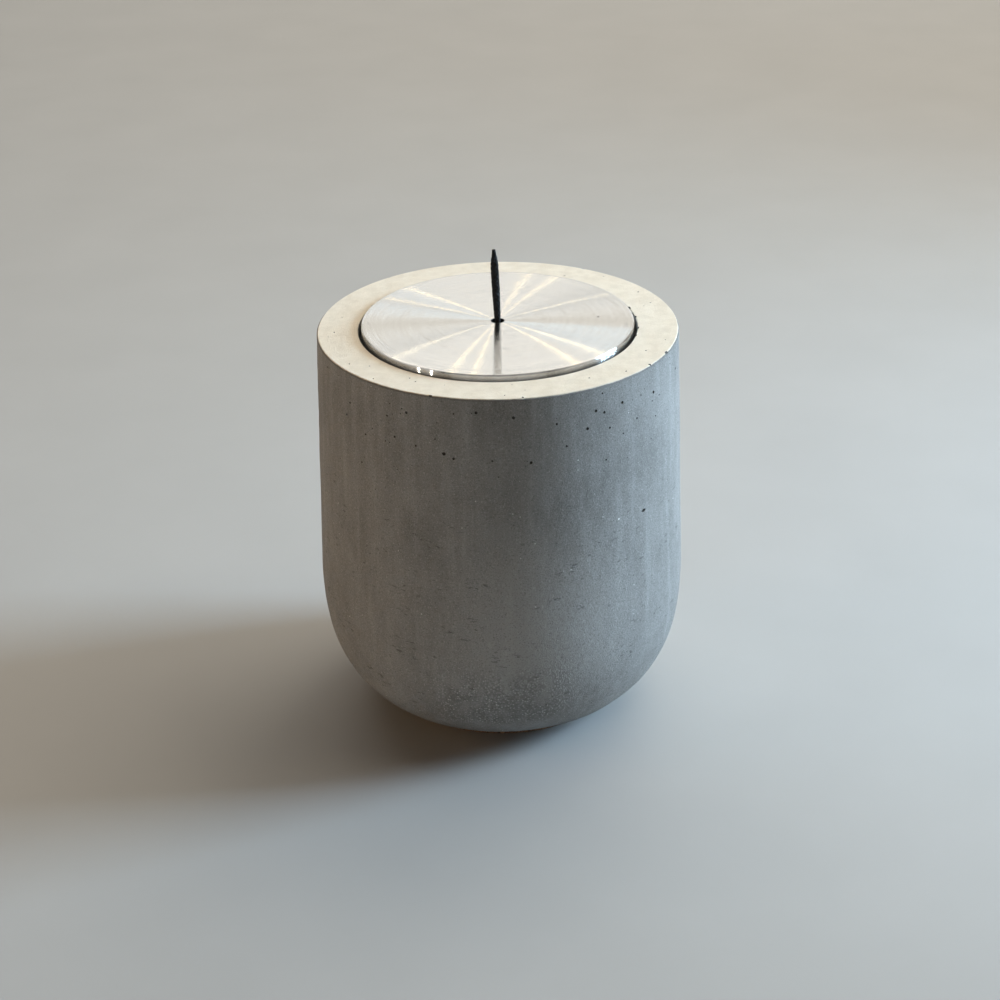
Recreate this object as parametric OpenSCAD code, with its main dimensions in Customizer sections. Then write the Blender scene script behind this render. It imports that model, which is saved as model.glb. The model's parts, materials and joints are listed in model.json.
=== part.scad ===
// Garden and table lantern. A cast concrete body with a round base holds a
// lift-out fuel reservoir. A turned aluminium cover sits in the rim on a seal
// and carries the wick in a threaded tube. Millimetres, +Z up, origin on the
// ground at the centre of the base.

/* [Body] */
// Outside diameter at the rim
rim_d = 135; // [128:0.5:138]
// Widest diameter, where the wall meets the base curve
belly_d = 140.5; // [138:0.5:150]
// Height of the rim above the ground
rim_h = 152.5; // [145:0.5:170]
// Height at which the base curve starts
curve_h = 56.5; // [45:0.5:70]
// Squareness of the base curve: 2 is an ellipse, more is fuller
curve_squareness = 2.5; // [2:0.1:3]
// Diameter at which the base curve would run out level with the ground
curve_flat_d = 50; // [40:1:60]
// Bevel on the outer edge of the rim
rim_bevel = 0.6; // [0.4:0.1:2]
// Bevel on the inner edge of the rim
mouth_bevel = 0.5; // [0.2:0.1:0.8]
// Diameter of the rebate that takes the cover
rebate_d = 103.8; // [103:0.1:106]
// Diameter of the well that takes the reservoir
well_d = 91; // [90:0.5:93]
// Depth of the well below the rebate
well_depth = 116; // [114:1:118]
// Radius in the bottom corner of the well
well_corner_r = 10; // [6:1:14]

/* [Base pad] */
// Thickness of the cork pad
pad_t = 2.5; // [1:0.5:4]
// Distance from the edge of the foot to the edge of the pad
pad_inset = 0.5; // [0.5:0.5:10]

/* [Reservoir] */
// Outside diameter of the cup
cup_d = 88; // [86.5:0.5:88]
// Depth of the cup below its flange
cup_depth = 111; // [90:1:112]
// Wall of the cup and thickness of its flange
cup_wall = 1; // [0.8:0.1:1.2]
// Diameter of the flange that hangs in the rebate
flange_d = 100; // [97:0.5:101]
// Outside radius in the bottom corner of the cup
cup_corner_r = 9; // [6:1:12]

/* [Cover] */
// Diameter of the cover disc
disc_d = 101.8; // [101:0.1:102.4]
// Thickness of the cover disc
disc_t = 5; // [4:0.5:7]
// Height of the disc's top face above the rim
disc_proud = 2; // [1:0.5:3]
// Chamfer on the top edge of the disc
disc_chamfer = 0.8; // [0.3:0.1:1]
// Outside diameter of the lip that centres the cover in the cup
lip_d = 84; // [80:0.5:84]
// Height of that lip below the disc
lip_h = 3; // [2:0.5:5]
// Width of that lip
lip_w = 3; // [2:0.5:5]
// Diameter of the boss for the wick tube
boss_d = 17; // [15:0.5:22]
// Height of the boss below the disc
boss_h = 6; // [4:0.5:8]
// Thickness of the silicone seal
seal_t = 1.2; // [0.8:0.1:2]

/* [Wick] */
// Diameter of the hole that the wick stands in
wick_hole_d = 4.6; // [4.4:0.1:5]
// Outside diameter of the threaded wick tube
tube_d = 8; // [7:0.5:9]
// Length of the wick tube
tube_l = 19; // [16:0.5:20]
// Pitch of the thread on the wick tube
thread_pitch = 1; // [0.8:0.1:1.25]
// Diameter of the sleeve that grips the wick in the end of the tube
sleeve_d = 5.8; // [5.4:0.1:5.8]
// Length of that sleeve
sleeve_l = 5; // [3:0.5:6]
// Diameter of the wick where the tube guides it
wick_d = 2.4; // [2:0.1:2.6]
// Diameter of the charred head of the wick
wick_head_d = 3; // [2.6:0.1:3.4]
// Diameter of the wire core of the wick
core_d = 0.8; // [0.5:0.1:1]
// Height of the wick above the cover
wick_out = 28; // [15:1:40]
// Lean of the wick
wick_lean = 2; // [0.5:0.5:2.5]

/* [Hidden] */
$fn = 96;

rim_r = rim_d / 2;
belly_r = belly_d / 2;
curve_flat_r = curve_flat_d / 2;
rebate_r = rebate_d / 2;
well_r = well_d / 2;
cup_r = cup_d / 2;
disc_r = disc_d / 2;
lip_r = lip_d / 2;
hole_r = wick_hole_d / 2;
tube_r = tube_d / 2;

// Levels
disc_top_z = rim_h + disc_proud;
disc_under_z = disc_top_z - disc_t;
flange_top_z = disc_under_z - seal_t;
seat_z = flange_top_z - cup_wall;
well_floor_z = seat_z - well_depth;
cup_under_z = seat_z - cup_depth;
boss_under_z = disc_under_z - boss_h;

// The tube stops this far below the top face of the disc
tube_sunk = 1.5;
tube_top_z = disc_top_z - tube_sunk;
tube_under_z = tube_top_z - tube_l;
thread_depth = 0.45;
sleeve_top_z = tube_under_z + sleeve_l;
wick_clearance = 0.15;
vent_d = 1;
vent_wall = 0.4;
vent_x = vent_wall + vent_d / 2 - sleeve_d / 2;

washer_d = 15;
washer_t = 1;
nut_af = 13;
nut_h = 4;
nut_top_z = boss_under_z - washer_t;

small_chamfer = 0.3;
pad_chamfer = 0.5;
neck_r = 1.5;
curve_steps = 28;
corner_steps = 8;

// The base curve is a quarter of a superellipse, which the foot cuts short
curve_power = 2 / curve_squareness;
curve_end = asin(pow(1 - pad_t / curve_h, 1 / curve_power));
foot_r = curve_radius(curve_end);

// The wick stops this far above the floor of the cup
wick_gap = 8;
wick_in = disc_top_z - cup_under_z - cup_wall - wick_gap;
core_short = 1.5;

// Points on an arc in the XZ plane, from one angle to another
function arc(x, z, r, from, to, steps = corner_steps) =
    [for (i = [0 : steps])
        let (a = from + (to - from) * i / steps)
        [x + r * cos(a), z + r * sin(a)]];

// Radius and height of the base curve, from 0 at the belly to 90 on the ground
function curve_radius(a) = curve_flat_r + (belly_r - curve_flat_r) * pow(cos(a), curve_power);
function curve_height(a) = curve_h * (1 - pow(sin(a), curve_power));

// The base curve from the belly down to the foot
function base_curve() =
    [for (i = [0 : curve_steps])
        let (a = curve_end * i / curve_steps)
        [curve_radius(a), curve_height(a)]];

// Concrete body: a straight wall that widens slightly downwards, a full base
// curve, and a rebate and a well inside
module vessel() {
    color("darkgray")
    rotate_extrude()
    polygon(concat(
        [[0, pad_t], [0, well_floor_z]],
        arc(well_r - well_corner_r, well_floor_z + well_corner_r, well_corner_r, -90, 0),
        [[well_r, seat_z],
         [rebate_r, seat_z],
         [rebate_r, rim_h - mouth_bevel],
         [rebate_r + mouth_bevel, rim_h],
         [rim_r - rim_bevel, rim_h],
         [rim_r, rim_h - rim_bevel]],
        base_curve()
    ));
}

// Cork disc under the foot
module base_pad() {
    pad_r = foot_r - pad_inset;
    color("peru")
    rotate_extrude()
    polygon([
        [0, 0],
        [pad_r - pad_chamfer, 0],
        [pad_r, pad_chamfer],
        [pad_r, pad_t],
        [0, pad_t]
    ]);
}

// Deep-drawn cup that hangs in the rebate by its flange
module reservoir() {
    inner_r = cup_r - cup_wall;
    inner_corner_r = cup_corner_r - cup_wall;
    corner_x = cup_r - cup_corner_r;
    corner_z = cup_under_z + cup_corner_r;
    color("silver")
    rotate_extrude()
    polygon(concat(
        [[0, cup_under_z]],
        arc(corner_x, corner_z, cup_corner_r, -90, 0),
        [[cup_r, seat_z],
         [flange_d / 2, seat_z],
         [flange_d / 2, flange_top_z]],
        arc(inner_r + neck_r, flange_top_z - neck_r, neck_r, 90, 180),
        arc(corner_x, corner_z, inner_corner_r, 0, -90),
        [[0, cup_under_z + cup_wall]]
    ));
}

// Flat silicone ring between the flange and the cover
module seal_ring() {
    inner_r = lip_r + small_chamfer;
    outer_r = flange_d / 2 - small_chamfer;
    bead = seal_t / 2;
    color("dimgray")
    rotate_extrude()
    polygon(concat(
        arc(outer_r - bead, flange_top_z + bead, bead, -90, 90),
        arc(inner_r + bead, flange_top_z + bead, bead, 90, 270)
    ));
}

// Turned cover: a disc with a centring lip and a tapped boss underneath
module cover_disc() {
    color("lightgray")
    rotate_extrude()
    polygon([
        [hole_r, disc_top_z],
        [disc_r - disc_chamfer, disc_top_z],
        [disc_r, disc_top_z - disc_chamfer],
        [disc_r, disc_under_z + small_chamfer],
        [disc_r - small_chamfer, disc_under_z],
        [lip_r, disc_under_z],
        [lip_r, disc_under_z - lip_h + small_chamfer],
        [lip_r - small_chamfer, disc_under_z - lip_h],
        [lip_r - lip_w, disc_under_z - lip_h],
        [lip_r - lip_w, disc_under_z],
        [boss_d / 2, disc_under_z],
        [boss_d / 2, boss_under_z],
        [tube_r, boss_under_z],
        [tube_r, tube_top_z],
        [hole_r, tube_top_z]
    ]);
}

// Threaded tube with a counterbore for the sleeve. Its thread is drawn as rings.
module wick_tube() {
    ring_count = floor((tube_l - thread_pitch) / thread_pitch);
    color("goldenrod")
    rotate_extrude()
    polygon(concat(
        [[hole_r, sleeve_top_z],
         [sleeve_d / 2, sleeve_top_z],
         [sleeve_d / 2, tube_under_z],
         [tube_r - thread_depth, tube_under_z]],
        [for (i = [0 : ring_count - 1], crest = [0, 1])
            [tube_r - (crest ? 0 : thread_depth),
             tube_under_z + (i + 0.5 + crest / 2) * thread_pitch]],
        [[tube_r - thread_depth, tube_top_z], [hole_r, tube_top_z]]
    ));
}

// Brass sleeve pressed into the tube. It grips the wick, and a small hole
// beside the wick lets air into the reservoir.
module wick_sleeve() {
    color("darkgoldenrod")
    difference() {
        translate([0, 0, tube_under_z])
            cylinder(d = sleeve_d, h = sleeve_l);
        along_wick()
            translate([0, 0, -wick_in])
                cylinder(d = wick_d + 2 * wick_clearance, h = wick_in);
        translate([vent_x, 0, tube_under_z - vent_d])
            cylinder(d = vent_d, h = sleeve_l + 2 * vent_d);
    }
}

// Plain washer under the boss
module tube_washer() {
    color("gainsboro")
    translate([0, 0, nut_top_z])
    difference() {
        cylinder(d = washer_d, h = washer_t);
        translate([0, 0, -washer_t])
            cylinder(d = tube_d, h = 3 * washer_t);
    }
}

// Thin hex nut that locks the tube to the boss
module tube_nut() {
    corner_r = nut_af / 2 / cos(30);
    color("khaki")
    translate([0, 0, nut_top_z - nut_h])
    difference() {
        intersection() {
            cylinder(r = corner_r, h = nut_h, $fn = 6);
            cylinder(r1 = nut_af / 2, r2 = nut_af / 2 + nut_h, h = nut_h);
        }
        translate([0, 0, -1])
            cylinder(d = tube_d, h = nut_h + 2);
    }
}

// Turns the wick about the mouth of its hole, so that it leans towards -X
module along_wick() {
    translate([0, 0, disc_top_z])
    rotate([0, -wick_lean, 0])
        children();
}

// Braided wick, thin where the tube guides it, with a fuller charred head
module wick_braid() {
    guide_r = wick_d / 2;
    head_r = wick_head_d / 2;
    bore_r = core_d / 2;
    swell = head_r - guide_r;
    head_z = 0.55 * wick_out;
    tip_r = 0.9;
    color("black")
    along_wick()
    rotate_extrude()
    polygon(concat(
        [[bore_r, -wick_in], [guide_r, -wick_in], [guide_r, 0]],
        [for (i = [1 : corner_steps])
            [guide_r + swell * sin(90 * i / corner_steps), head_z * i / corner_steps]],
        [[0.93 * head_r, 0.8 * wick_out]],
        arc(0, wick_out - tip_r, tip_r, 30, 90, 4),
        [[0, wick_out - core_short], [bore_r, wick_out - core_short]]
    ));
}

// Wire core that keeps the wick upright
module wick_core() {
    color("slategray")
    along_wick()
    translate([0, 0, -wick_in])
        cylinder(d = core_d, h = wick_in + wick_out - core_short);
}

vessel();
base_pad();
reservoir();
seal_ring();
cover_disc();
wick_tube();
wick_sleeve();
tube_washer();
tube_nut();
wick_braid();
wick_core();
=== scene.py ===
import json
import math
import random

import bmesh
import bpy
from mathutils import Matrix, Vector, noise


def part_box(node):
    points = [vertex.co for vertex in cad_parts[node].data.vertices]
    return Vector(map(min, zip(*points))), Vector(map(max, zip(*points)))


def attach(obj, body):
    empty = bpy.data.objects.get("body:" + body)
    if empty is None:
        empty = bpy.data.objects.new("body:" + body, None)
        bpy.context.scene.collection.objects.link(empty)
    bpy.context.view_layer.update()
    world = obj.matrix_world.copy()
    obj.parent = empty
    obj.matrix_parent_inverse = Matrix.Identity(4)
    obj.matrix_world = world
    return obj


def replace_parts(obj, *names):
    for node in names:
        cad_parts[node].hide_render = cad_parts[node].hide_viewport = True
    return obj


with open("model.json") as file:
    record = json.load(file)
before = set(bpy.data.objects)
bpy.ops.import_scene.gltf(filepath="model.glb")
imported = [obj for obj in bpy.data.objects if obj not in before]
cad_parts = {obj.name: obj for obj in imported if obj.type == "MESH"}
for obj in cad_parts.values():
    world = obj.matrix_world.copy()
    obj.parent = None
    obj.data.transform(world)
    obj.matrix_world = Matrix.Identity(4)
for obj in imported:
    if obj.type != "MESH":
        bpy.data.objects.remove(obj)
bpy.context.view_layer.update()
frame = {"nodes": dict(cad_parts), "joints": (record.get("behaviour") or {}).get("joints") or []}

# A concrete oil lantern: the looks of its pieces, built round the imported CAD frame.
# Lengths are in millimetres up to the point where a mesh is made, and only the lamps are
# placed in metres. Angles round the lantern run from 0 at the front (-Y) through 90 at the
# right (+X).

MM = 0.001
random.seed(20)


def box_mm(node):
    low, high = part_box(node)
    return low / MM, high / MM


# ---------------------------------------------------------------- sizes, in millimetres

vessel_low, vessel_high = box_mm("vessel")
RIM_Z = vessel_high.z
FOOT_Z = vessel_low.z
BELLY_R = vessel_high.x
RIM_R = 67.5
RIM_BEVEL = 0.6
MOUTH_BEVEL = 0.5
REBATE_R = 51.9
WELL_R = 45.5
WELL_CORNER_R = 10
CURVE_H = 56.5
CURVE_FLAT_R = 25
CURVE_SQUARENESS = 2.5
SEAT_Z = box_mm("reservoir")[1].z - 1
WELL_FLOOR_Z = SEAT_Z - 116

disc_low, disc_high = box_mm("cover_disc")
DISC_R = disc_high.x
DISC_TOP_Z = disc_high.z
DISC_UNDER_Z = DISC_TOP_Z - 5
DISC_CHAMFER = 0.8
BOSS_UNDER_Z = disc_low.z
BOSS_R = 8.5
LIP_R = 42
LIP_W = 3
LIP_H = 3
HOLE_R = 2.3
COUNTERSINK = 0.25
EDGE_BREAK = 0.3
BOSS_BREAK = 0.4

tube_low, tube_high = box_mm("wick_tube")
TUBE_R = tube_high.x
THREAD_PITCH = 1
THREAD_DEPTH = 0.45
SLEEVE_R = box_mm("wick_sleeve")[1].x
SLEEVE_TOP_Z = box_mm("wick_sleeve")[1].z

PAD_R = box_mm("base_pad")[1].x
PAD_T = box_mm("base_pad")[1].z
PAD_CHAMFER = 0.5

WICK_OUT = 28
WICK_IN = 109
WICK_GUIDE_R = 1.2
WICK_HEAD_R = 1.5
WICK_TIP_R = 0.9
WICK_FRAY = 0.12

FLOOR_HALF = 4000


# ---------------------------------------------------------------- mesh helpers


def around(angle, r, z):
    """The point at an angle round the lantern, in degrees from the front."""
    a = math.radians(angle)
    return Vector((r * math.sin(a), -r * math.cos(a), z))


def densify(points, step):
    """A profile with points added so that none lies more than a step from the next."""
    dense = [points[0]]
    for (r0, z0), (r1, z1) in zip(points, points[1:]):
        count = max(1, math.ceil(math.hypot(r1 - r0, z1 - z0) / step))
        for i in range(1, count + 1):
            t = i / count
            dense.append((r0 + (r1 - r0) * t, z0 + (z1 - z0) * t))
    return dense


def arc(r, z, radius, start, end, steps=10):
    """Profile points on an arc about (r, z), from one angle to another in degrees."""
    points = []
    for i in range(steps + 1):
        a = math.radians(start + (end - start) * i / steps)
        points.append((r + radius * math.cos(a), z + radius * math.sin(a)))
    return points


def piece(name, verts, faces, materials, smooth_angle=35):
    """A mesh object from points in millimetres."""
    mesh = bpy.data.meshes.new(name)
    mesh.from_pydata([v * MM for v in verts], [], faces)
    made = bpy.data.objects.new(name, mesh)
    bpy.context.scene.collection.objects.link(made)
    for m in materials:
        mesh.materials.append(m)
    finish_mesh(mesh, smooth_angle)
    return made


def finish_mesh(mesh, smooth_angle):
    """Outward normals, and smooth shading up to an angle."""
    work = bmesh.new()
    work.from_mesh(mesh)
    bmesh.ops.recalc_face_normals(work, faces=work.faces)
    work.to_mesh(mesh)
    work.free()
    mesh.shade_smooth()
    mesh.set_sharp_from_angle(angle=math.radians(smooth_angle))


def lathe(name, profile, segments, materials, shape=None, smooth_angle=35, closed=False):
    """Turns a profile of (r, z) points about the axis. A profile that is not closed starts
    and ends on the axis. shape(point, angle) may move each point."""
    verts = []
    rings = []
    for r, z in profile:
        if r < 1e-6:
            rings.append([len(verts)])
            verts.append(Vector((0, 0, z)))
            continue
        ring = []
        for s in range(segments):
            angle = 360 * s / segments
            point = around(angle, r, z)
            if shape:
                point = shape(point, angle)
            ring.append(len(verts))
            verts.append(point)
        rings.append(ring)
    pairs = list(zip(rings, rings[1:]))
    if closed:
        pairs.append((rings[-1], rings[0]))
    faces = []
    for lower, upper in pairs:
        for s in range(segments):
            t = (s + 1) % segments
            if len(lower) == 1:
                faces.append((lower[0], upper[t], upper[s]))
            elif len(upper) == 1:
                faces.append((lower[s], lower[t], upper[0]))
            else:
                faces.append((lower[s], lower[t], upper[t], upper[s]))
    return piece(name, verts, faces, materials, smooth_angle)


def fractal(point, size, octaves=3):
    """Seeded fractal noise, about -1 to 1, whose features are about size across."""
    return noise.fractal(point / size, 0.9, 2.0, octaves, noise_basis="PERLIN_ORIGINAL")


def smooth_step(low, high, x):
    """0 at low and 1 at high, with soft ends. low may be the greater."""
    t = min(1, max(0, (x - low) / (high - low)))
    return t * t * (3 - 2 * t)


# ---------------------------------------------------------------- node helpers


class Look:
    """A material and short calls that add nodes to it. Positions in it are in
    millimetres in the piece's own space."""

    def __init__(self, name):
        self.material = bpy.data.materials.new(name)
        self.material.use_nodes = True
        self.tree = self.material.node_tree
        self.tree.nodes.clear()
        self.shader = self.tree.nodes.new("ShaderNodeBsdfPrincipled")
        output = self.tree.nodes.new("ShaderNodeOutputMaterial")
        self.tree.links.new(self.shader.outputs[0], output.inputs[0])
        metres = self.node("ShaderNodeTexCoord").outputs["Object"]
        self.place = self.scaled(metres, (1 / MM,) * 3)

    def node(self, kind, **settings):
        made = self.tree.nodes.new(kind)
        for key, value in settings.items():
            setattr(made, key, value)
        return made

    def put(self, socket, value):
        if isinstance(value, bpy.types.NodeSocket):
            self.tree.links.new(value, socket)
        else:
            socket.default_value = value

    def set(self, **values):
        """Sets or links the shader's sockets, such as Base_Color."""
        for key, value in values.items():
            self.put(self.shader.inputs[key.replace("_", " ")], value)
        return self

    def scaled(self, vector, factors):
        """A vector with each coordinate multiplied by its own factor."""
        made = self.node("ShaderNodeVectorMath", operation="MULTIPLY")
        self.put(made.inputs[0], vector)
        made.inputs[1].default_value = factors
        return made.outputs[0]

    def vector(self, operation, a, b=(0, 0, 0), output="Vector"):
        made = self.node("ShaderNodeVectorMath", operation=operation)
        self.put(made.inputs[0], a)
        self.put(made.inputs[1], b)
        return made.outputs[output]

    def axis(self, name):
        """One coordinate of the position: X, Y or Z."""
        made = self.node("ShaderNodeSeparateXYZ")
        self.put(made.inputs[0], self.place)
        return made.outputs[name]

    def math(self, operation, a, b=0.0):
        made = self.node("ShaderNodeMath", operation=operation)
        self.put(made.inputs[0], a)
        self.put(made.inputs[1], b)
        return made.outputs[0]

    def radius(self):
        """Distance from the lantern's axis."""
        x = self.axis("X")
        y = self.axis("Y")
        squares = self.math("ADD", self.math("MULTIPLY", x, x), self.math("MULTIPLY", y, y))
        return self.math("SQRT", squares)

    def polar(self, turns):
        """A vector of the radius and the angle about the axis, for arcs of a length that
        falls as turns rises."""
        x = self.axis("X")
        y = self.axis("Y")
        made = self.node("ShaderNodeCombineXYZ")
        self.put(made.inputs[0], self.radius())
        self.put(made.inputs[1], self.math("MULTIPLY", self.math("ARCTAN2", x, y), turns))
        self.put(made.inputs[2], self.axis("Z"))
        return made.outputs[0]

    def noise(self, size, detail=3.0, roughness=0.5, where=None, stretch=None):
        """Noise from 0 to 1 whose features are about size millimetres across, or longer
        along an axis whose stretch is below 1."""
        where = where or self.place
        if stretch:
            where = self.scaled(where, stretch)
        made = self.node("ShaderNodeTexNoise")
        self.put(made.inputs["Vector"], where)
        made.inputs["Scale"].default_value = 1 / size
        made.inputs["Detail"].default_value = detail
        made.inputs["Roughness"].default_value = roughness
        return made.outputs[0]

    def cells(self, size, output="Distance", feature="F1"):
        """Cells about size millimetres across: the distance in each, or its own colour."""
        made = self.node("ShaderNodeTexVoronoi", feature=feature)
        self.put(made.inputs["Vector"], self.place)
        made.inputs["Scale"].default_value = 1 / size
        return made.outputs[output]

    def channel(self, colour):
        """The first channel of a colour, such as a cell's own, as a random number."""
        made = self.node("ShaderNodeSeparateColor")
        self.put(made.inputs[0], colour)
        return made.outputs[0]

    def span(self, value, low, high, to_low=0.0, to_high=1.0):
        """Maps low..high to to_low..to_high, with soft ends."""
        made = self.node("ShaderNodeMapRange", interpolation_type="SMOOTHSTEP")
        self.put(made.inputs["Value"], value)
        made.inputs["From Min"].default_value = low
        made.inputs["From Max"].default_value = high
        made.inputs["To Min"].default_value = to_low
        made.inputs["To Max"].default_value = to_high
        return made.outputs[0]

    def colour(self, factor, a, b):
        """A mix of two colours: a where the factor is 0, and b where it is 1."""
        made = self.node("ShaderNodeMix", data_type="RGBA")
        sockets = [s for s in made.inputs if s.type == "RGBA"]
        self.put(made.inputs[0], factor)
        for socket, value in zip(sockets, (a, b)):
            if not isinstance(value, bpy.types.NodeSocket):
                value = (*value, 1.0)
            self.put(socket, value)
        return next(s for s in made.outputs if s.type == "RGBA")

    def bump(self, height, depth, under=None):
        """Bump of a height from 0 to 1 that stands for depth millimetres."""
        made = self.node("ShaderNodeBump")
        made.inputs["Strength"].default_value = 1.0
        made.inputs["Distance"].default_value = depth * MM
        self.put(made.inputs["Height"], height)
        if under:
            self.put(made.inputs["Normal"], under)
        return made.outputs[0]


# ---------------------------------------------------------------- materials


SAND_SIZE = 0.55
GRIT_SIZE = 0.9
DOT_SIZE = 2.6
SMUDGE = (0.085, 0.082, 0.078)
PALE_GRAIN = (0.48, 0.47, 0.45)
DARK_GRAIN = (0.08, 0.077, 0.072)
WHITE_DOT = (0.75, 0.74, 0.72)


def low_patch(look):
    """1 on the sandy patch low on the front, 0 elsewhere, with a ragged border."""
    height = look.axis("Z")
    band = look.math("MULTIPLY", look.span(height, 13, 19), look.span(height, 50, 36))
    middle = look.span(look.math("ABSOLUTE", look.axis("X")), 34, 14)
    front = look.math("MULTIPLY", middle, look.span(look.axis("Y"), -20, -40))
    ragged = look.span(look.noise(9, detail=4), 0.28, 0.52)
    return look.math("MULTIPLY", look.math("MULTIPLY", band, front), ragged)


def clouded_grey(look, mottle):
    """The cement itself: clouds, mottling, streaks down the wall and painted light that makes the
    lower front paler.
    """
    height = look.axis("Z")
    cloud = look.noise(30, detail=4, roughness=0.55)
    streak = look.noise(4.5, detail=4, stretch=(1, 1, 0.07), roughness=0.6)
    grey = look.colour(look.span(cloud, 0.3, 0.7), (0.200, 0.194, 0.184), (0.252, 0.246, 0.235))
    grey = look.colour(look.span(mottle, 0.38, 0.72, 0, 0.4), grey, (0.315, 0.308, 0.296))
    grey = look.colour(look.span(streak, 0.48, 0.78, 0, 0.5), grey, (0.36, 0.355, 0.345))
    grey = look.colour(look.span(streak, 0.46, 0.22, 0, 0.4), grey, (0.15, 0.146, 0.14))
    # Painted light: the lower front, but not its left side, is coloured paler as the light falling
    # on it.
    painted_front_light = look.math("MULTIPLY", look.span(height, 120, 60), look.span(height, 18, 42))
    painted_front_light = look.math("MULTIPLY", painted_front_light, look.span(look.axis("Y"), -46, -66, 0, 0.7))
    painted_front_light = look.math("MULTIPLY", painted_front_light, look.span(look.axis("X"), -36, 4))
    return look.colour(painted_front_light, grey, (0.40, 0.392, 0.375))


def smudged(look, grey):
    """Adds short dark smudges, in clusters below the upper wall."""
    smudge = look.noise(1.7, detail=3, stretch=(0.5, 0.5, 1.35), roughness=0.6)
    cluster = look.span(look.noise(13, detail=2, stretch=(0.8, 0.8, 1.4)), 0.49, 0.62)
    where = look.math("MULTIPLY", cluster, look.span(look.axis("Z"), 126, 95))
    marks = look.math("MULTIPLY", look.span(smudge, 0.575, 0.68, 0, 0.75), where)
    return look.colour(marks, grey, SMUDGE)


def sanded(look, grey, sand):
    """Adds pale and dark grains of sand, and a few white dots."""
    grey = look.colour(look.span(sand, 0.53, 0.75, 0, 0.65), grey, PALE_GRAIN)
    grey = look.colour(look.span(sand, 0.47, 0.27, 0, 0.65), grey, DARK_GRAIN)
    rare = look.math("GREATER_THAN", look.channel(look.cells(DOT_SIZE, "Color")), 0.93)
    white = look.math("MULTIPLY", look.span(look.cells(DOT_SIZE), 0.13, 0.07), rare)
    return look.colour(look.math("MULTIPLY", white, 0.8), grey, WHITE_DOT)


def grit_light_and_shade(look, grey):
    """Adds painted light to the bare grains of the low patch: painted shade between them and a
    painted highlight on the tops of some.
    """
    grit = look.cells(GRIT_SIZE)
    sandy = low_patch(look)
    # Painted shade: dark colour between the grains.
    grain_gap_shade = look.math("MULTIPLY", look.span(grit, 0.4, 0.65, 0, 0.5), sandy)
    grey = look.colour(grain_gap_shade, grey, (0.11, 0.107, 0.10))
    # Painted highlight: pale colour on the tops of some grains.
    lit = look.span(look.channel(look.cells(GRIT_SIZE, "Color")), 0.35, 0.6)
    bright = look.math("MULTIPLY", look.span(grit, 0.36, 0.18), lit)
    bright = look.math("MULTIPLY", bright, 0.9)
    return look.colour(look.math("MULTIPLY", bright, sandy), grey, (0.62, 0.61, 0.59))


def concrete_colour(look):
    """Cast concrete, with painted shade on the sharp edge under a paler sanded rim."""
    height = look.axis("Z")
    mottle = look.noise(5, detail=5, roughness=0.65, stretch=(1, 1, 0.4))
    sand = look.noise(SAND_SIZE, detail=2, roughness=0.8)
    grey = grit_light_and_shade(look, sanded(look, smudged(look, clouded_grey(look, mottle)), sand))
    # Painted shade: the sharp edge just under the rim is coloured dark, so that its bevel does not
    # catch the light.
    arris_shade = look.span(height, RIM_Z - 1.1, RIM_Z - 0.5, 0, 0.55)
    grey = look.colour(arris_shade, grey, (0.10, 0.095, 0.085))
    cream = look.colour(look.span(mottle, 0.3, 0.7), (0.68, 0.60, 0.49), (0.76, 0.68, 0.565))
    cream = look.colour(look.span(sand, 0.55, 0.8, 0, 0.3), cream, (0.50, 0.47, 0.42))
    worn = look.math("ADD", height, look.span(mottle, 0.3, 0.7, -0.06, 0.06))
    return look.colour(look.span(worn, RIM_Z - 0.34, RIM_Z - 0.2), grey, cream)


def concrete():
    look = Look("cast_concrete")
    shade = concrete_colour(look)
    grit = look.noise(0.5, detail=4, roughness=0.75)
    coarse = look.noise(2.4, detail=4, roughness=0.6)
    grains = look.math("MULTIPLY", look.span(look.cells(GRIT_SIZE), 0.6, 0.1), low_patch(look))
    relief = look.bump(coarse, 0.14)
    relief = look.bump(grains, 0.22, relief)
    relief = look.bump(grit, 0.16, relief)
    rough = look.span(coarse, 0.3, 0.7, 0.74, 0.9)
    look.set(Base_Color=shade, Roughness=rough, Normal=relief)
    return look.material


def air_hole_shade():
    """Painted shade: the inside of the air holes and chips in the concrete, coloured dark as the
    shade in them.
    """
    look = Look("air_hole_shade")
    tone = look.noise(0.4, detail=2)
    shade = look.colour(tone, (0.045, 0.042, 0.038), (0.10, 0.095, 0.088))
    look.set(Base_Color=shade, Roughness=0.95)
    return look.material


def quartz():
    """The pale grains that show in the wall."""
    look = Look("quartz")
    shade = look.colour(look.noise(0.3, detail=2), (0.62, 0.61, 0.59), (0.85, 0.84, 0.82))
    rough = look.span(look.noise(0.5, detail=2), 0.3, 0.7, 0.35, 0.6)
    look.set(Base_Color=shade, Roughness=rough)
    return look.material


def cork():
    """Cork granules in brown, with a dark seam between them."""
    granule = 1.6
    look = Look("cork")
    tone = look.channel(look.cells(granule, "Color"))
    seam = look.span(look.cells(granule, feature="DISTANCE_TO_EDGE"), 0.0, 0.12)
    body = look.colour(tone, (0.20, 0.095, 0.045), (0.42, 0.24, 0.125))
    body = look.colour(look.noise(0.5, detail=3), body, (0.30, 0.16, 0.08))
    look.set(Base_Color=look.colour(seam, (0.07, 0.032, 0.016), body), Roughness=0.88)
    look.set(Normal=look.bump(seam, 0.12))
    return look.material


GROOVE_PITCH = 0.005
# Painted shade: the black that fills the bore of a hole.
BORE_SHADE = (0.006, 0.006, 0.006)


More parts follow.
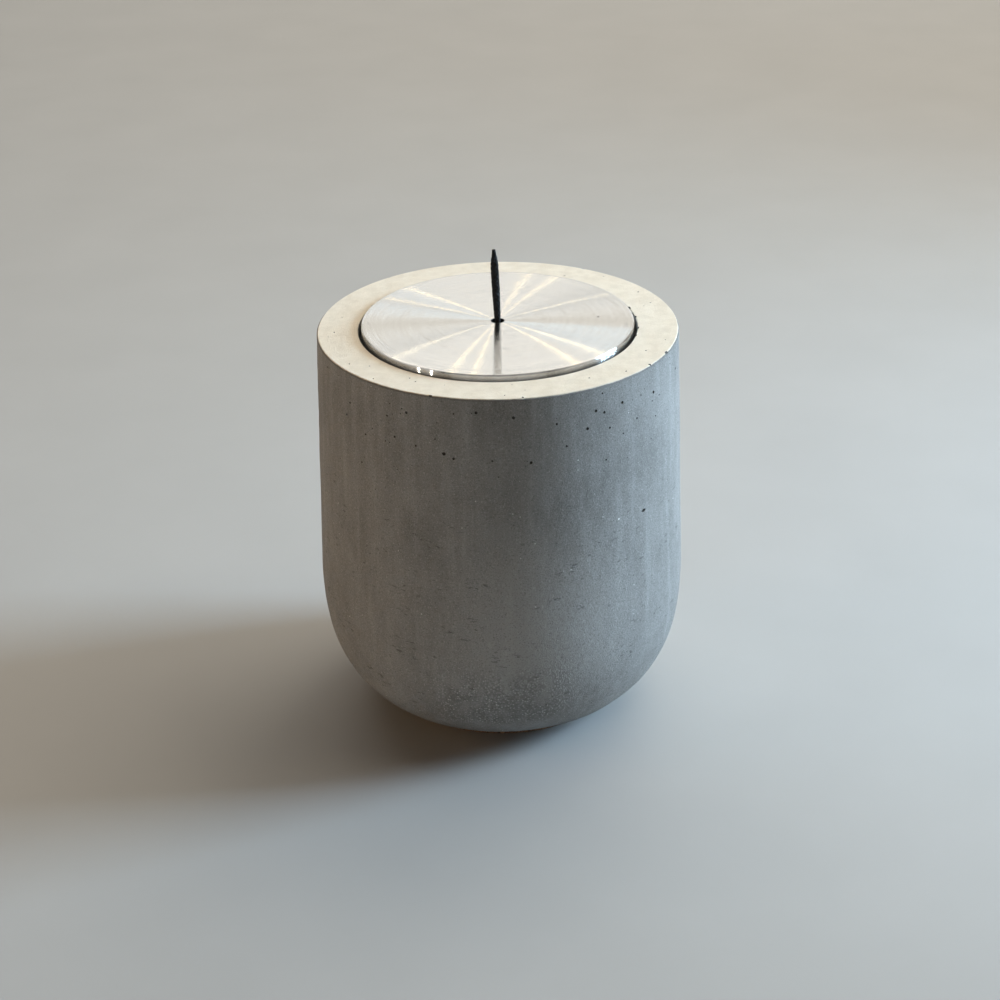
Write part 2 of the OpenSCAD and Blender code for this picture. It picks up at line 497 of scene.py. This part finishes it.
def turned_normal(look, slope):
    """The surface's normal, tipped in and out by grooves too fine to see, so that every
    small light draws a thin radial line. slope is the steepest that a groove gets."""
    facing = look.node("ShaderNodeNewGeometry").outputs["Normal"]
    along = look.vector("CROSS_PRODUCT", (0, 0, 1), look.scaled(look.place, (1, 1, 0)))
    across = look.vector("CROSS_PRODUCT", facing, look.vector("NORMALIZE", along))
    groove = look.node("ShaderNodeTexWhiteNoise", noise_dimensions="2D")
    step = look.node("ShaderNodeCombineXYZ")
    for socket, length in zip(step.inputs, (look.radius(), look.axis("Z"))):
        look.put(socket, look.math("FLOOR", look.math("DIVIDE", length, GROOVE_PITCH)))
    look.put(groove.inputs["Vector"], step.outputs[0])
    lean = look.math("MULTIPLY", look.math("SUBTRACT", groove.outputs[0], 0.5), 2 * slope)
    tipped = look.node("ShaderNodeVectorMath", operation="SCALE")
    look.put(tipped.inputs[0], across)
    look.put(tipped.inputs["Scale"], lean)
    return look.vector("NORMALIZE", look.vector("ADD", facing, tipped.outputs[0]))


def metal(name, tint, shade, rough, anisotropy=0.0, ring=0.35, slope=0.0, shaded_below=None,
          speck=None, bore_shade_r=0.0):
    """Turned or drawn metal: fine rings about the axis in tone, roughness and relief,
    with short arcs where the tool rubbed. rough is its lowest and highest roughness, and
    ring the width of a ring. It has painted shade below one height if given, a sooty speck
    at one point if given, and painted shade, black, inside a radius if given."""
    look = Look(name)
    height = look.axis("Z")
    across = look.node("ShaderNodeCombineXYZ")
    look.put(across.inputs[0], look.radius())
    look.put(across.inputs[1], height)
    fine = look.noise(ring, detail=3, roughness=0.7, where=across.outputs[0])
    broad = look.noise(ring * 14, detail=2, roughness=0.5, where=across.outputs[0])
    arcs = look.noise(1.1, detail=3, roughness=0.6, where=look.polar(5))
    rubbed = look.span(arcs, 0.60, 0.72)
    tone = look.colour(look.span(fine, 0.3, 0.7), tint, shade)
    tone = look.colour(look.math("MULTIPLY", rubbed, 0.4), tone, [0.8 * c for c in shade])
    # Painted shade: below this height the chamfer, side and underside are coloured darker,
    # standing for the dim light that they mirror.
    if shaded_below:
        lower_shade = look.span(height, shaded_below, shaded_below - 0.15, 0, 0.35)
        tone = look.colour(lower_shade, tone, [0.5 * c for c in shade])
    if speck:
        away = look.vector("DISTANCE", look.place, speck, output="Value")
        tone = look.colour(look.span(away, 0.5, 0.35), tone, (0.01, 0.01, 0.01))
    grain = look.span(fine, 0.3, 0.7, *rough)
    grain = look.math("ADD", grain, look.span(broad, 0.3, 0.7, 0, 0.005))
    grain = look.math("ADD", grain, look.math("MULTIPLY", rubbed, 0.03))
    # Painted shade: inside a radius the bore of the hole is coloured black, as the shade in it,
    # and made rougher.
    if bore_shade_r:
        soot_and_bore_shade = look.span(look.radius(), bore_shade_r + 0.1, bore_shade_r - 0.1)
        tone = look.colour(soot_and_bore_shade, tone, BORE_SHADE)
        grain = look.math("ADD", grain, look.math("MULTIPLY", soot_and_bore_shade, 0.5))
    look.set(Base_Color=tone, Metallic=1.0, Roughness=grain, Anisotropic=anisotropy)
    if anisotropy:
        tangent = look.node("ShaderNodeTangent", direction_type="RADIAL", axis="Z")
        look.set(Tangent=tangent.outputs[0], Anisotropic_Rotation=0.25)
    if slope:
        look.set(Normal=turned_normal(look, slope))
    else:
        look.set(Normal=look.bump(fine, 0.004))
    return look.material


def silicone():
    """Black silicone with a little dust on it."""
    look = Look("silicone")
    dust = look.span(look.noise(1.2, detail=4, roughness=0.7), 0.5, 0.8)
    shade = look.colour(dust, (0.022, 0.022, 0.024), (0.06, 0.06, 0.062))
    look.set(Base_Color=shade, Roughness=look.span(dust, 0, 1, 0.55, 0.8))
    look.set(Normal=look.bump(look.noise(0.3, detail=2), 0.01))
    return look.material


def wick_fibre():
    """Glass fibre: charred black where it stands out of the tube, cream in the oil."""
    look = Look("wick_fibre")
    height = look.axis("Z")
    ragged = look.math("ADD", height, look.span(look.noise(1.5, detail=3), 0, 1, -3, 3))
    char = look.span(ragged, DISC_TOP_Z - 11, DISC_TOP_Z - 5)
    thread = look.noise(0.22, detail=3, stretch=(1, 1, 0.15))
    clean = look.colour(thread, (0.50, 0.45, 0.36), (0.70, 0.65, 0.55))
    soot_and_bore_shade = look.colour(thread, (0.004, 0.004, 0.004), (0.014, 0.013, 0.013))
    rough = look.span(thread, 0, 1, 0.45, 0.8)
    look.set(Base_Color=look.colour(char, clean, soot_and_bore_shade), Roughness=rough)
    look.set(Normal=look.bump(thread, 0.03), Specular_IOR_Level=0.25)
    return look.material


def floor_look():
    look = Look("pale_floor")
    shade = look.colour(look.noise(60, detail=3), (0.37, 0.364, 0.355), (0.41, 0.404, 0.395))
    look.set(Base_Color=shade, Roughness=0.65)
    return look.material


CONCRETE = concrete()
AIR_HOLE_SHADE = air_hole_shade()
QUARTZ = quartz()
CORK = cork()
ALUMINIUM = metal(
    "turned_aluminium",
    tint=(0.90, 0.895, 0.88),
    shade=(0.85, 0.84, 0.82),
    rough=(0.15, 0.16),
    anisotropy=1.0,
    slope=0.38,
    shaded_below=DISC_TOP_Z - 0.2,
    speck=(37.5, 2.5, DISC_TOP_Z),
    bore_shade_r=HOLE_R + 0.3,
)
STEEL = metal(
    "drawn_steel",
    tint=(0.60, 0.59, 0.57),
    shade=(0.46, 0.45, 0.44),
    rough=(0.26, 0.36),
    anisotropy=0.6,
    ring=0.8,
)
BRASS = metal(
    "brass",
    tint=(0.74, 0.56, 0.27),
    shade=(0.58, 0.41, 0.18),
    rough=(0.28, 0.38),
    ring=0.5,
    bore_shade_r=HOLE_R + 0.2,
)
ZINC = metal(
    "zinc_steel", tint=(0.56, 0.57, 0.59), shade=(0.42, 0.43, 0.45), rough=(0.34, 0.46), ring=0.5,
)
WIRE = metal(
    "core_wire", tint=(0.32, 0.31, 0.30), shade=(0.20, 0.19, 0.18), rough=(0.35, 0.5), ring=0.2,
)
SILICONE = silicone()
WICK_FIBRE = wick_fibre()


# ---------------------------------------------------------------- concrete body


def outer_radius(z):
    """Radius of the concrete's outside at a height."""
    if z >= CURVE_H:
        return BELLY_R + (RIM_R - BELLY_R) * (z - CURVE_H) / (RIM_Z - RIM_BEVEL - CURVE_H)
    rise = (1 - z / CURVE_H) ** CURVE_SQUARENESS
    return CURVE_FLAT_R + (BELLY_R - CURVE_FLAT_R) * (1 - rise) ** (1 / CURVE_SQUARENESS)


def base_curve(steps=90):
    """Profile points of the base curve, from the foot up to the belly."""
    power = 2 / CURVE_SQUARENESS
    end = math.asin((1 - FOOT_Z / CURVE_H) ** (1 / power))
    points = []
    for i in range(steps, -1, -1):
        a = end * i / steps
        r = CURVE_FLAT_R + (BELLY_R - CURVE_FLAT_R) * math.cos(a) ** power
        points.append((r, CURVE_H * (1 - math.sin(a) ** power)))
    return points


def body_profile():
    """The whole outline of the concrete, from the foot round to the floor of the well."""
    outside = base_curve()
    foot = densify([(0, FOOT_Z), outside[0]], step=6)
    wall = densify([outside[-1], (RIM_R, RIM_Z - RIM_BEVEL)], step=1)
    bevel = densify([wall[-1], (RIM_R - RIM_BEVEL, RIM_Z)], step=0.6)
    rim = densify([bevel[-1], (REBATE_R + MOUTH_BEVEL, RIM_Z)], step=1.5)
    mouth = [(REBATE_R, RIM_Z - MOUTH_BEVEL)]
    rebate = densify([mouth[-1], (REBATE_R, SEAT_Z), (WELL_R, SEAT_Z)], step=2.5)
    corner_z = WELL_FLOOR_Z + WELL_CORNER_R
    well = densify([(WELL_R, SEAT_Z), (WELL_R, corner_z)], step=6)
    corner = arc(WELL_R - WELL_CORNER_R, corner_z, WELL_CORNER_R, 0, -90)
    floor = densify([corner[-1], (0, WELL_FLOOR_Z)], step=8)
    return foot + outside[1:] + wall[1:] + bevel[1:] + rim[1:] + mouth + rebate[1:] \
        + well[1:] + corner[1:] + floor[1:]


def rough_patch(angle, z):
    """How sandy the concrete is here: most on the low front, and a little elsewhere."""
    near = abs((angle + 180) % 360 - 180)
    front = smooth_step(48, 12, near) * smooth_step(38, 27, z) * smooth_step(4, 10, z)
    turn = around(angle, 1, 0) * 1.6
    other = 0.45 * smooth_step(0.1, 0.6, fractal(turn + Vector((0, 0, z / 30)), 1))
    return max(front, other * smooth_step(60, 20, z))


def cast_surface(point, angle):
    """Moves a point of the outline as casting and handling leave it. The foot and the
    inside stay as they are, and the rim only sags a little."""
    r = math.hypot(point.x, point.y)
    out = Vector((point.x / r, point.y / r, 0))
    z = point.z
    on_rim = z > RIM_Z - 0.01
    inside = r < outer_radius(min(z, RIM_Z - RIM_BEVEL)) - 3
    if z < FOOT_Z + 0.01 or inside and not on_rim:
        return point
    if on_rim:
        sag = 0.05 * fractal(point, 18)
        return point + Vector((0, 0, -abs(sag)))
    calm = 0.25 + 0.75 * smooth_step(RIM_Z - 1, RIM_Z - 14, z)
    wave = calm * (0.16 * fractal(point, 26) + 0.05 * fractal(point + Vector((7, 3, 1)), 5))
    grit = 0.26 * rough_patch(angle, z) * fractal(point + Vector((2, 9, 4)), 2.3)
    return point + out * (wave + grit - 0.12)


# Which of the body's materials a cut shows.
CONCRETE_SLOT = 0
# The air holes and chips show painted shade: a dark colour that stands for the shade in them.
AIR_HOLE_SHADE_SLOT = 1
QUARTZ_SLOT = 2

# What the front shows: the angle, the distance below the rim and the width of each.
LARGE_HOLE = (50, 55.4, 2.6)
FRONT_HOLES = (
    (-53, 17, 0.9), (-46, 33, 0.7), (-35, 11, 0.8), (-28, 8, 1.0), (-25, 20, 0.8),
    (-16, 21.5, 1.3), (-13, 23, 1.0), (-6, 5, 1.1), (5, 7, 1.2), (10, 24.5, 1.1),
    (18, 11, 0.9), (21, 20, 0.9), (28, 15, 1.2), (31, 9, 1.1), (34, 10.5, 1.1),
    (36, 17, 0.9), (41, 9, 1.1), (56, 11, 1.2),
)
FRONT_QUARTZ = ((30, 41, 0.9), (33, 51, 1.1), (39, 54, 1.2), (54, 42, 1.1), (53, 57, 0.9))

# Chips in the rim: the angle, the radius, the size across the rim and the size round it.
RIM_EDGE_R = RIM_R - RIM_BEVEL / 2
RIM_CHIPS = (
    (55, RIM_EDGE_R - 0.5, 1.2, 1.0),
    (66, RIM_EDGE_R, 1.4, 2.4),
    (8, RIM_EDGE_R - 1.0, 1.0, 0.8),
    (-20, RIM_EDGE_R, 0.9, 1.6),
    (150, RIM_EDGE_R, 1.2, 2.6),
    (-140, RIM_EDGE_R, 1.0, 1.8),
    (-114, REBATE_R + 0.5, 1.1, 1.4),
    (108, REBATE_R + 0.4, 1.0, 2.4),
    (98, REBATE_R + 0.3, 0.8, 1.6),
    (86, REBATE_R + 0.3, 0.9, 2.4),
    (78, REBATE_R + 0.3, 0.7, 1.6),
)

# How many more are put in at random.
UPPER_HOLES = 110
LOWER_HOLES = 80
SCUFFS = 36
RIM_HOLES = 22


class Hollows:
    """Small blobs that are cut out of the concrete, kept clear of each other."""

    def __init__(self):
        self.verts = []
        self.faces = []
        self.slots = []
        self.taken = []

    def add(self, centre, out, along, width, height, depth, slot=AIR_HOLE_SHADE_SLOT):
        """A blob at a point of the surface: out is the surface's normal, along a tangent,
        and slot the material of the cut."""
        reach = max(width, height) / 2 + 0.2
        if any((centre - c).length < reach + r for c, r in self.taken):
            return False
        self.taken.append((centre, reach))
        up = out.cross(along)
        work = bmesh.new()
        bmesh.ops.create_icosphere(work, subdivisions=3 if width > 0.9 else 2, radius=1)
        first = len(self.verts)
        for v in work.verts:
            wobble = 1 + 0.22 * noise.noise(v.co * 1.7 + centre)
            local = v.co * wobble
            self.verts.append(
                centre + along * local.x * width / 2 + up * local.y * height / 2
                + out * local.z * depth
            )
        for f in work.faces:
            self.faces.append([first + v.index for v in f.verts])
            self.slots.append(slot)
        work.free()
        return True

    def on_wall(self, angle, z, width, height, depth, slot=AIR_HOLE_SHADE_SLOT):
        r = outer_radius(z)
        slope = outer_radius(z + 0.5) - outer_radius(z - 0.5)
        radial = around(angle, 1, 0)
        out = (radial - Vector((0, 0, slope))).normalized()
        along = Vector((0, 0, 1)).cross(radial)
        return self.add(around(angle, r, z), out, along, width, height, depth, slot)

    def on_rim(self, angle, r, width, height, depth):
        out = Vector((0, 0, 1))
        return self.add(around(angle, r, RIM_Z), out, around(angle, 1, 0), width, height, depth)


def hollows():
    """Air holes, thickest near the rim, with chips in the edges and scuffs low down."""
    made = Hollows()
    angle, drop, width = LARGE_HOLE
    made.on_wall(angle, RIM_Z - drop, width, 1.2, 0.9)
    for angle, drop, width in FRONT_HOLES:
        made.on_wall(angle, RIM_Z - drop, width, width, width * 0.7)
    for angle, drop, width in FRONT_QUARTZ:
        made.on_wall(angle, RIM_Z - drop, width, width, 0.12, QUARTZ_SLOT)
    for angle, r, width, height in RIM_CHIPS:
        made.on_rim(angle, r, width, height, 0.6)
    for _ in range(UPPER_HOLES):
        width = min(1.2, 0.4 + random.expovariate(5))
        z = RIM_Z - 3 - 34 * random.random() ** 1.4
        angle = random.uniform(0, 360)
        made.on_wall(angle, z, width, width * random.uniform(0.7, 1.1), width * 0.7)
    for _ in range(LOWER_HOLES):
        width = min(1.1, 0.35 + random.expovariate(7))
        z = random.uniform(12, RIM_Z - 30)
        angle = random.uniform(0, 360)
        made.on_wall(angle, z, width, width * random.uniform(0.6, 1.0), width * 0.6)
    for _ in range(SCUFFS):
        width = random.uniform(1.0, 2.6)
        z = random.uniform(20, 110)
        angle = random.uniform(0, 360)
        made.on_wall(angle, z, width, random.uniform(0.4, 0.7), 0.12, CONCRETE_SLOT)
    for _ in range(RIM_HOLES):
        width = random.uniform(0.3, 0.7)
        made.on_rim(random.uniform(0, 360), random.uniform(53.5, 65.5), width, width, 0.4)
    return made


def cut(target, cutter):
    """Cuts one object out of another and keeps the cutter's material in the cut."""
    change = target.modifiers.new("cut", "BOOLEAN")
    change.operation = "DIFFERENCE"
    change.solver = "MANIFOLD"
    change.object = cutter
    bpy.context.view_layer.objects.active = target
    bpy.ops.object.modifier_apply(modifier=change.name)
    bpy.data.objects.remove(cutter)


def cast_body():
    looks = [CONCRETE, AIR_HOLE_SHADE, QUARTZ]
    body = lathe("cast_body", body_profile(), 320, looks, cast_surface)
    made = hollows()
    blobs = piece("blobs", made.verts, made.faces, looks)
    blobs.data.polygons.foreach_set("material_index", made.slots)
    cut(body, blobs)
    body.data.shade_smooth()
    body.data.set_sharp_from_angle(angle=math.radians(34))
    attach(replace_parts(body, "vessel"), "body")
    return body


# ---------------------------------------------------------------- other pieces


def cork_pad():
    """The pad, with an edge that is crumbled a little."""

    def pressed(point, _angle):
        r = math.hypot(point.x, point.y)
        edge = smooth_step(PAD_R - 3, PAD_R, r)
        inward = -Vector((point.x, point.y, 0)).normalized()
        bite = 0.14 * edge * abs(fractal(point, 1.6))
        lift = 0.0 if point.z > PAD_T - 0.01 else 0.05 * abs(fractal(point, 1.2))
        return point + inward * bite + Vector((0, 0, lift))

    half = 0.3 * PAD_CHAMFER
    edge = [(PAD_R - PAD_CHAMFER, 0), (PAD_R - half, half), (PAD_R, PAD_CHAMFER), (PAD_R, PAD_T)]
    under = densify([(0, 0), *edge], step=1)
    profile = under + densify([(PAD_R, PAD_T), (0, PAD_T)], step=8)[1:]
    pad = lathe("cork_pad", profile, 220, [CORK], pressed)
    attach(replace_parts(pad, "base_pad"), "body")


def turned_cover():
    """The disc, faced on a lathe, so its top is a train of very shallow rings."""
    top = [(HOLE_R, DISC_TOP_Z - COUNTERSINK), (HOLE_R + COUNTERSINK, DISC_TOP_Z)]
    marks = densify([top[-1], (DISC_R - DISC_CHAMFER, DISC_TOP_Z)], step=0.8)
    faced = [marks[0], *((r, z - random.uniform(0, 0.003)) for r, z in marks[1:-1]), marks[-1]]
    edge_r = DISC_R - DISC_CHAMFER
    edge = arc(edge_r, DISC_TOP_Z - DISC_CHAMFER, DISC_CHAMFER, 90, 0, steps=7)
    under = [
        (DISC_R, DISC_UNDER_Z + EDGE_BREAK),
        (DISC_R - EDGE_BREAK, DISC_UNDER_Z),
        (LIP_R, DISC_UNDER_Z),
        (LIP_R, DISC_UNDER_Z - LIP_H + EDGE_BREAK),
        (LIP_R - EDGE_BREAK, DISC_UNDER_Z - LIP_H),
        (LIP_R - LIP_W, DISC_UNDER_Z - LIP_H),
        (LIP_R - LIP_W, DISC_UNDER_Z),
        (BOSS_R, DISC_UNDER_Z),
        (BOSS_R, BOSS_UNDER_Z + BOSS_BREAK),
        (BOSS_R - BOSS_BREAK, BOSS_UNDER_Z),
        (TUBE_R, BOSS_UNDER_Z),
        (TUBE_R, tube_high.z),
        (HOLE_R, tube_high.z),
    ]
    profile = top[:1] + faced + edge[1:] + under
    disc = lathe("turned_cover", profile, 256, [ALUMINIUM], closed=True)
    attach(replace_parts(disc, "cover_disc"), "cover")


def threaded_tube():
    """The wick tube with a real single-start thread, faded out at both ends."""
    sides = 72
    rows_per_mm = 8
    length = tube_high.z - tube_low.z
    rows = rows_per_mm * round(length)
    verts = []
    for j in range(rows + 1):
        z = length * j / rows
        fade = smooth_step(0, 1, z) * smooth_step(length, length - 1, z)
        for s in range(sides):
            turn = (z / THREAD_PITCH - s / sides) % 1
            crest = 1 - abs(2 * turn - 1)
            r = TUBE_R - THREAD_DEPTH * (1 - fade * min(1, 1.25 * crest))
            verts.append(around(360 * s / sides, r, tube_low.z + z))
    inside = [
        (HOLE_R, tube_high.z),
        (HOLE_R, SLEEVE_TOP_Z),
        (SLEEVE_R, SLEEVE_TOP_Z),
        (SLEEVE_R, tube_low.z),
    ]
    for r, z in inside:
        verts += [around(360 * s / sides, r, z) for s in range(sides)]
    count = rows + 1 + len(inside)
    faces = []
    for j in range(count):
        lower = j * sides
        upper = (j + 1) % count * sides
        for s in range(sides):
            t = (s + 1) % sides
            faces.append((lower + s, lower + t, upper + t, upper + s))
    tube = piece("threaded_tube", verts, faces, [BRASS], smooth_angle=50)
    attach(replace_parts(tube, "wick_tube"), "cover")


def wick_radius(z):
    """Outer radius of the wick at a height above the disc, along the wick."""
    swell = WICK_HEAD_R - WICK_GUIDE_R
    if z <= 0:
        return WICK_GUIDE_R
    body = WICK_GUIDE_R + swell * math.sin(min(1, z / (0.55 * WICK_OUT)) * math.pi / 2)
    body += WICK_FRAY * smooth_step(0, 2, z)
    taper = smooth_step(WICK_OUT * 0.76, WICK_OUT, z)
    return body + (WICK_TIP_R - body) * taper


def strand(verts, faces, path, radius, sides=6):
    """A closed tube along a list of points. radius(i) gives its radius at each."""
    first = len(verts)
    for i, p in enumerate(path):
        ahead = path[min(i + 1, len(path) - 1)] - path[max(i - 1, 0)]
        side = ahead.cross(Vector((0.3, 0.9, 0.1))).normalized()
        other = ahead.cross(side).normalized()
        for s in range(sides):
            a = 2 * math.pi * s / sides
            verts.append(p + (side * math.cos(a) + other * math.sin(a)) * radius(i))
    for i in range(len(path) - 1):
        for s in range(sides):
            t = (s + 1) % sides
            a = first + i * sides
            faces.append((a + s, a + t, a + sides + t, a + sides + s))
    faces.append([first + s for s in range(sides)])
    faces.append([first + (len(path) - 1) * sides + s for s in range(sides)][::-1])


STRAND_R = 0.36
STRANDS_PER_SET = 5
BRAID_LAY = 9.0
BRAID_STEP = 0.7
WEAVE = 0.10
STRAY_FIBRES = 90


def braid_strands(verts, faces):
    """Two sets of strands that wind opposite ways and cross over and under."""
    length = WICK_IN + WICK_OUT
    rows = round(length / BRAID_STEP)

    def thinning(i):
        return STRAND_R * (1 - 0.35 * smooth_step(rows * 0.965, rows, i))

    for sense in (1, -1):
        for k in range(STRANDS_PER_SET):
            path = []
            for i in range(rows + 1):
                z = -WICK_IN + length * i / rows
                crossings = STRANDS_PER_SET * 2 * z / BRAID_LAY + k + (sense < 0) / 2
                weave = WEAVE * math.cos(2 * math.pi * crossings)
                burnt = 0.10 * smooth_step(0, 8, z) * fractal(Vector((k, sense * 3, z)), 1.3)
                r = wick_radius(z) - STRAND_R - WEAVE + weave + burnt
                a = 2 * math.pi * (sense * z / BRAID_LAY + k / STRANDS_PER_SET)
                path.append(Vector((r * math.cos(a), r * math.sin(a), z)))
            strand(verts, faces, path, thinning)


def braid_heart(verts, faces):
    """The solid heart that shows between the strands."""
    rows = 60
    length = WICK_IN + WICK_OUT - 1.4
    path = [Vector((0, 0, -WICK_IN + 0.2 + length * i / rows)) for i in range(rows + 1)]
    strand(verts, faces, path, lambda i: wick_radius(path[i].z) - 0.42, sides=14)


def stray_fibres(verts, faces):
    """Burnt ends that stand off the wick above the disc."""
    rows = 4
    for _ in range(STRAY_FIBRES):
        z = WICK_OUT * random.uniform(0.25, 1.0) ** 0.6
        a = random.uniform(0, 2 * math.pi)
        root = Vector((math.cos(a), math.sin(a), 0)) * (wick_radius(z) - 0.25)
        root.z = z - 0.6
        lift = random.uniform(0.5, 1.5)
        out = Vector((math.cos(a), math.sin(a), 0)) * random.uniform(0.05, 0.32)
        headroom = WICK_OUT - root.z - 0.05
        path = []
        for i in range(rows + 1):
            rise = min(headroom, lift * i / rows)
            path.append(root + out * (i / rows) + Vector((0, 0, rise)))
        strand(verts, faces, path, lambda i: 0.07 * (1.1 - i / rows), sides=4)


def charred_braid():
    """The wick: a round braid, leaning as its joint does, with burnt fibres at its head."""
    joint = next(j for j in frame["joints"] if j["name"] == "wick_feed")
    lean = Vector((0, 0, 1)).rotation_difference(Vector(joint["axis"])).to_matrix().to_4x4()
    place = Matrix.Translation((0, 0, DISC_TOP_Z)) @ lean
    verts = []
    faces = []
    braid_strands(verts, faces)
    braid_heart(verts, faces)
    stray_fibres(verts, faces)
    placed = [place @ v for v in verts]
    braid = piece("charred_braid", placed, faces, [WICK_FIBRE], smooth_angle=60)
    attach(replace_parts(braid, "wick_braid"), "wick")


def dress(node, look):
    """Gives a material to a CAD node that keeps its own shape."""
    mesh = frame["nodes"][node].data
    mesh.materials.clear()
    mesh.materials.append(look)


cast_body()
cork_pad()
turned_cover()
threaded_tube()
charred_braid()
dress("reservoir", STEEL)
dress("seal_ring", SILICONE)
dress("wick_sleeve", BRASS)
dress("tube_washer", ZINC)
dress("tube_nut", BRASS)
dress("wick_core", WIRE)


# ---------------------------------------------------------------- stage, camera and lights


def floor():
    signs = ((-1, -1), (1, -1), (1, 1), (-1, 1))
    corners = [Vector((x * FLOOR_HALF, y * FLOOR_HALF, 0)) for x, y in signs]
    piece("floor", corners, [(0, 1, 2, 3)], [floor_look()])


def camera():
    """The photograph's viewpoint, fitted to the rim, the disc and the outline."""
    where = Vector((11.4, -772.7, 469.5)) * MM
    pitch = 26.77
    yaw = 0.87
    roll = -1.05
    lens = bpy.data.cameras.new("camera")
    lens.sensor_width = 36
    lens.lens = 80.4
    lens.clip_start = 0.01
    made = bpy.data.objects.new("camera", lens)
    turn = Matrix.Rotation(math.radians(yaw), 4, "Z")
    turn = turn @ Matrix.Rotation(math.radians(90 - pitch), 4, "X")
    turn = turn @ Matrix.Rotation(math.radians(roll), 4, "Z")
    made.matrix_world = Matrix.Translation(where) @ turn
    bpy.context.scene.collection.objects.link(made)
    bpy.context.scene.camera = made


def lamp(name, where, size, radiance, colour, target=(0, 0, 0.12), along=(0, 0, 1), spread=180,
         casts=True, mirrored=True):
    """A panel of a given radiance, facing a target, in metres. size is its two sides, and
    along the way that the second runs. casts says whether it lights matt surfaces, and
    mirrored whether glossy ones show it."""
    data = bpy.data.lights.new(name, "AREA")
    data.shape = "RECTANGLE"
    data.size, data.size_y = size
    data.energy = math.pi * size[0] * size[1] * radiance
    data.color = colour
    data.spread = math.radians(spread)
    made = bpy.data.objects.new(name, data)
    back = (Vector(where) - Vector(target)).normalized()
    side = Vector(along).cross(back).normalized()
    turn = Matrix((side, back.cross(side), back)).transposed().to_4x4()
    made.matrix_world = Matrix.Translation(where) @ turn
    made.visible_camera = False
    made.visible_diffuse = casts
    made.visible_glossy = mirrored
    bpy.context.scene.collection.objects.link(made)


def mirrored_strip(name, point, facings, width, radiance, colour):
    """A strip lamp that facets at a point, between two facings, reflect into the camera."""
    away = 1.6
    point = point * MM
    eye = (bpy.context.scene.camera.location - point).normalized()
    ends = []
    for facing in facings:
        facing = facing.normalized()
        ends.append(point + (2 * facing.dot(eye) * facing - eye) * away)
    run = ends[1] - ends[0]
    where = (ends[0] + ends[1]) / 2
    lamp(name, where, (width, run.length), radiance, colour, target=point, along=run)


def streak_lamp(angle, width, radiance, colour, leans=(0.24, 0.36)):
    """A strip that draws one bright radial streak on the turned disc. angle is the
    streak's, from +X towards +Y, and leans the slopes of the grooves that mirror it."""
    a = math.radians(angle)
    facings = [Vector((-lean * math.cos(a), -lean * math.sin(a), 1)) for lean in leans]
    mirrored_strip(f"streak_{angle}", Vector((0, 0, DISC_TOP_Z)), facings, width, radiance, colour)


def glint_lamp(angle, radiance):
    """A strip that draws a thin upright glint on the disc's side."""
    point = around(angle, DISC_R, DISC_TOP_Z - 1)
    facings = [around(angle, 1, lean) for lean in (0.20, 0.36)]
    width = 0.02
    mirrored_strip(f"glint_{-angle}", point, facings, width, radiance, (1.0, 0.95, 0.85))


def lights():
    world = bpy.data.worlds.new("studio")
    bpy.context.scene.world = world
    world.use_nodes = True
    backdrop = world.node_tree.nodes["Background"]
    backdrop.inputs[0].default_value = (0.90, 0.90, 0.92, 1)
    backdrop.inputs[1].default_value = 0.03
    soft_lights()
    disc_lights()


def soft_lights():
    """A warm ceiling, panels behind and round the lantern that its metal mirrors, and the
    cool light from the right and warm light from the left."""
    cards = (("card_front", 0, -1.8), ("card_left", -1.8, 0), ("card_right", 1.8, 0))
    lamp("ceiling", (1.1, 0.65, 1.65), (2.6, 1.5), 2.6, (1.0, 0.92, 0.77), mirrored=False)
    lamp("sky", (0, 1.12, 1.85), (3.0, 0.8), 1.7, (1.0, 0.95, 0.86))
    lamp("sweep", (0, 1.75, 1.0), (3.0, 1.4), 0.72, (1.0, 0.95, 0.85))
    lamp("window", (0, 1.6, 0.35), (1.4, 0.45), 0.65, (0.80, 0.90, 1.0))
    for name, x, y in cards:
        lamp(name, (x, y, 1.05), (3.0, 1.7), 0.5, (1.0, 0.96, 0.90), casts=False)
    lamp("cool_side", (1.15, 0.22, 0.52), (0.4, 0.5), 10.0, (0.55, 0.78, 1.0), spread=80)
    lamp("warm_side", (-1.2, -0.1, 0.4), (0.5, 0.7), 0.64, (1.0, 0.48, 0.05), spread=100,
         mirrored=False)


def disc_lights():
    """The thin streaks on the disc, the cool zones beside them and two glints on its side."""
    warm = (1.0, 0.80, 0.42)
    for angle in (145, 130):
        streak_lamp(angle, 0.02, 6.6, warm)
    for angle in (79, 68):
        streak_lamp(angle, 0.035, 2.5, warm)
    streak_lamp(37, 0.02, 5.2, (1.0, 0.88, 0.62))
    streak_lamp(162, 0.30, 0.8, (0.25, 0.65, 1.0))
    for angle in (-33, -27):
        glint_lamp(angle, 70)


floor()
camera()
lights()
bpy.context.scene.view_settings.view_transform = "Standard"
